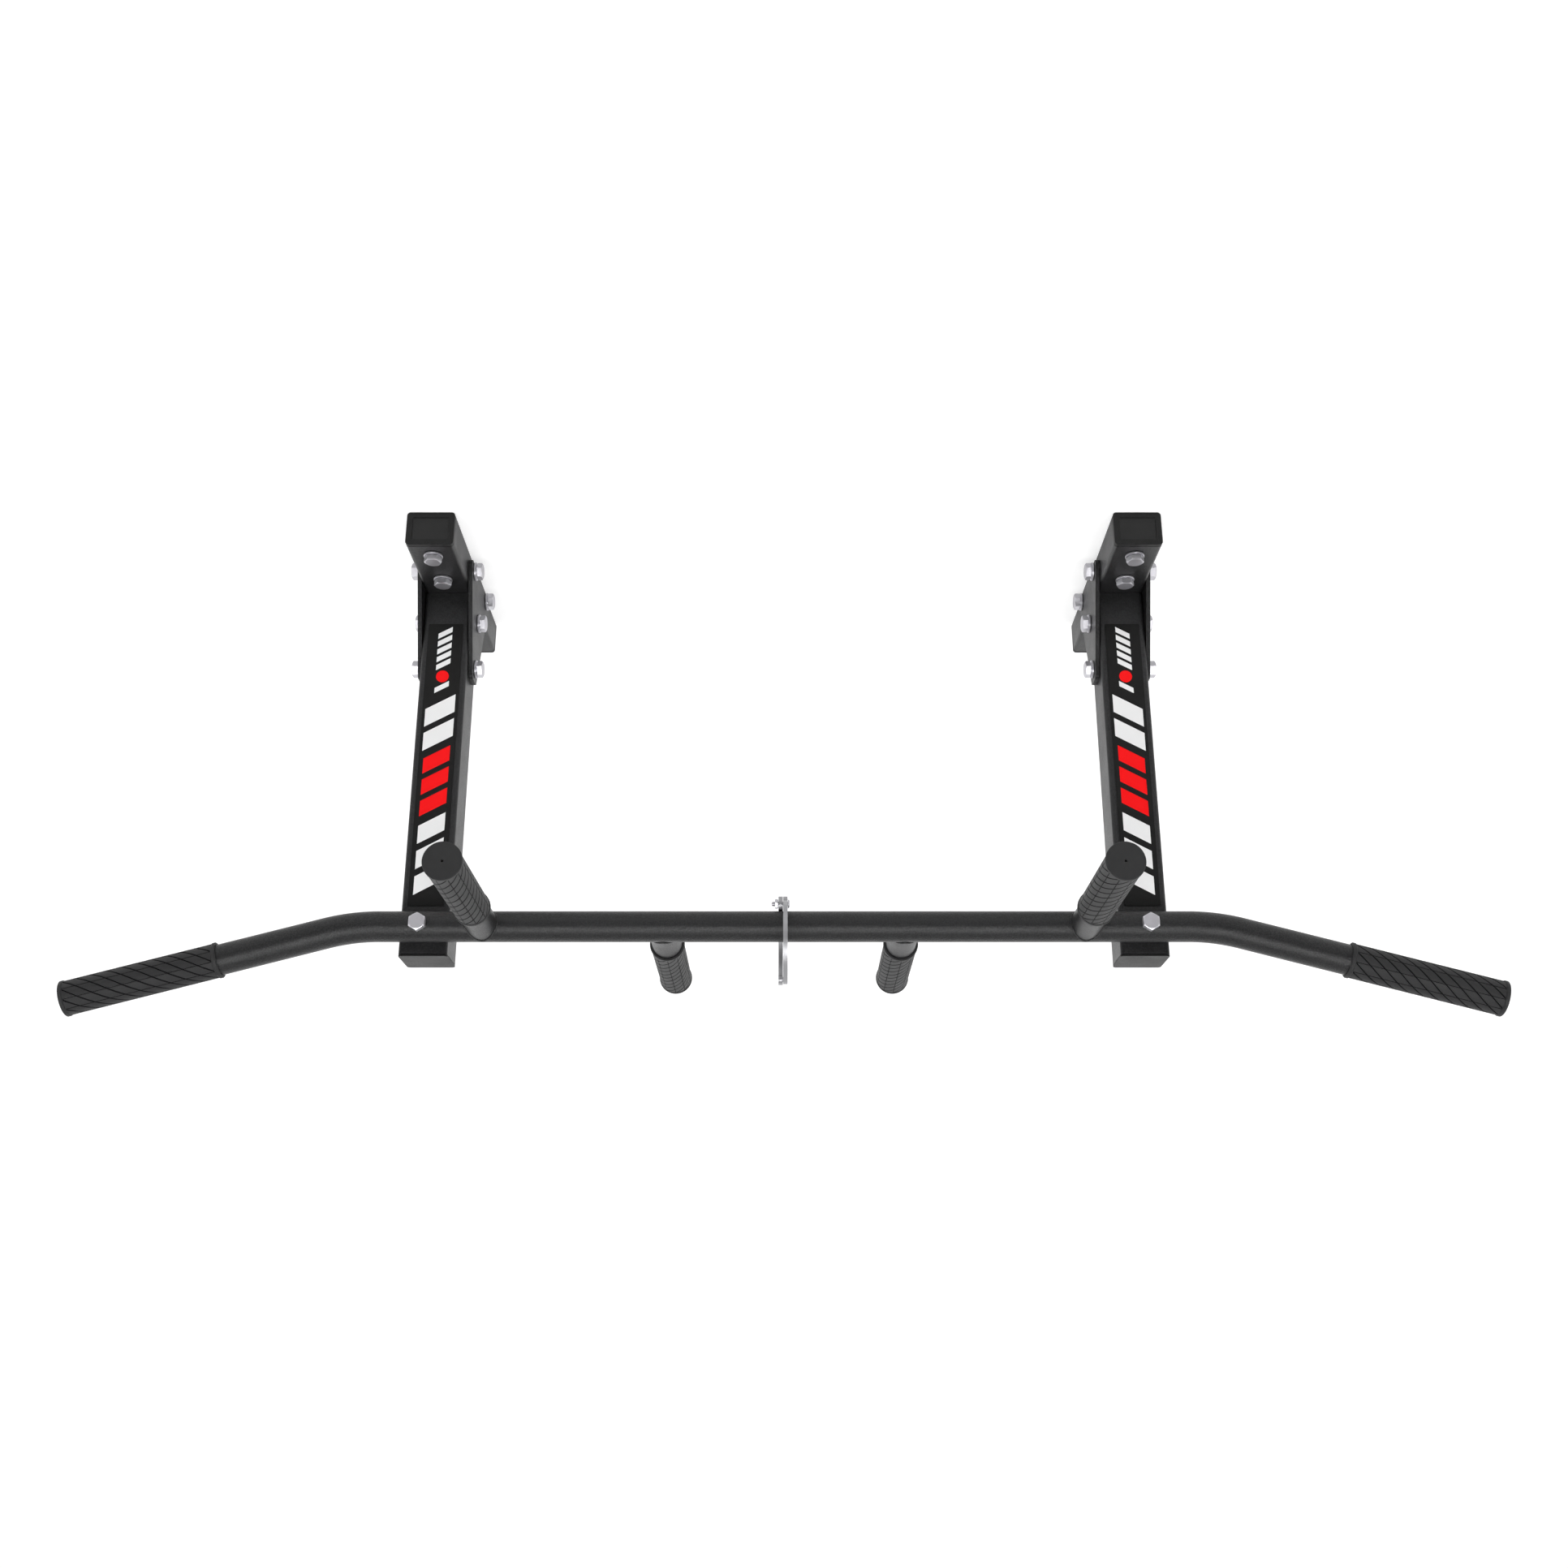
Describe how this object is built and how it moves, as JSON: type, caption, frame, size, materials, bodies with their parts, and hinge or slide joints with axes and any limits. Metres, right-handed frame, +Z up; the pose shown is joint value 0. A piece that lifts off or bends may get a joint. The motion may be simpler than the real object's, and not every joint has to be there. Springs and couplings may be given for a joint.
{
  "type": "pull up bar",
  "caption": "Ceiling-mounted pull up bar with angled ends, forward and rearward straight grips, box-section brackets and a swinging centre ring.",
  "frame": {"origin": "on the ceiling plane, midway between the two brackets and level with the middle of the posts", "axes": "+X along the bar to the right of a person who faces it, +Y away from that person, +Z up into the ceiling"},
  "size_m": [1.156, 0.36, 0.4676],
  "materials": {
    "black_coat": "fine textured black powder coat on steel",
    "black_plastic": "moulded black end caps",
    "grip_rubber": "matte dark grey rubber with moulded grooves",
    "zinc": "bright zinc-plated fasteners",
    "ring_steel": "galvanised flat steel",
    "sticker": "printed black film with plain red and white bars"
  },
  "bodies": {
    "frame": {"front_left_grip": "grip_rubber", "front_left_handle": "black_coat", "front_right_grip": "grip_rubber", "front_right_handle": "black_coat", "left_bar_bolt": "zinc", "left_bar_nut": "zinc", "left_ceiling_screw_1": "zinc", "left_ceiling_screw_2": "zinc", "left_ceiling_screw_3": "zinc", "left_ceiling_screw_4": "zinc", "left_end_grip": "grip_rubber", "left_inner_gusset": "black_coat", "left_outer_gusset": "black_coat", "left_post": "black_coat", "left_post_lower_bolt": "zinc", "left_post_lower_nut": "zinc", "left_post_plug": "black_plastic", "left_post_upper_bolt": "zinc", "left_post_upper_nut": "zinc", "left_rail": "black_coat", "left_rail_front_bolt": "zinc", "left_rail_front_cap": "black_plastic", "left_rail_front_nut": "zinc", "left_rail_rear_bolt": "zinc", "left_rail_rear_cap": "black_plastic", "left_rail_rear_nut": "zinc", "left_sticker": "sticker", "main_bar": "black_coat", "rear_left_grip": "grip_rubber", "rear_left_handle": "black_coat", "rear_right_grip": "grip_rubber", "rear_right_handle": "black_coat", "right_bar_bolt": "zinc", "right_bar_nut": "zinc", "right_ceiling_screw_1": "zinc", "right_ceiling_screw_2": "zinc", "right_ceiling_screw_3": "zinc", "right_ceiling_screw_4": "zinc", "right_end_grip": "grip_rubber", "right_inner_gusset": "black_coat", "right_outer_gusset": "black_coat", "right_post": "black_coat", "right_post_lower_bolt": "zinc", "right_post_lower_nut": "zinc", "right_post_plug": "black_plastic", "right_post_upper_bolt": "zinc", "right_post_upper_nut": "zinc", "right_rail": "black_coat", "right_rail_front_bolt": "zinc", "right_rail_front_cap": "black_plastic", "right_rail_front_nut": "zinc", "right_rail_rear_bolt": "zinc", "right_rail_rear_cap": "black_plastic", "right_rail_rear_nut": "zinc", "right_sticker": "sticker"},
    "ring": {"ring_bolt": "zinc", "ring_front_half": "ring_steel", "ring_nut": "zinc", "ring_rear_half": "ring_steel", "ring_rivet": "zinc"}
  },
  "joints": [
    {"name": "ring_swing", "type": "hinge", "parent": "frame", "child": "ring", "pos_m": [0, -0.0328, -0.336], "axis": [1, 0, 0], "continuous": true}
  ]
}
